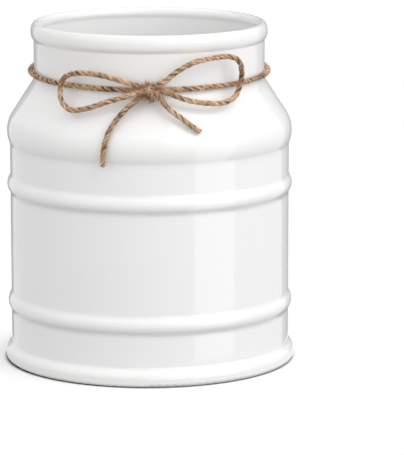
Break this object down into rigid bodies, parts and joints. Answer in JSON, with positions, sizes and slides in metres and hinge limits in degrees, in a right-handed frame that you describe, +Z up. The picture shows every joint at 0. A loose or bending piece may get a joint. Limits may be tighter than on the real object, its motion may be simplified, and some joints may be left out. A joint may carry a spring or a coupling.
{
  "type": "utensil crock",
  "caption": "Round white-glazed ceramic utensil crock with a beaded rim, sloped shoulder and raised bands, and jute twine tied in a bow round its neck.",
  "frame": {"origin": "centre of the plane that the foot ring rests on", "axes": "+Z up along the crock's axis of revolution; -Y points to the front, where the bow is; +X to the right of the front view"},
  "size_m": [0.1492, 0.1492, 0.1746],
  "materials": {
    "glaze": "glossy white glaze",
    "jute": "rough twisted jute fibre"
  },
  "bodies": {
    "crock": {"crock_body": "glaze"},
    "twine_tie": {"neck_ring": "jute", "bow_wrap": "jute", "bow_loop_left": "jute", "bow_loop_right": "jute", "bow_tail_left": "jute", "bow_tail_right": "jute"}
  },
  "joints": [
    {"name": "twine_turn", "type": "hinge", "parent": "crock", "child": "twine_tie", "pos_m": [0, 0, 0.1479], "axis": [0, 0, 1], "continuous": true}
  ]
}
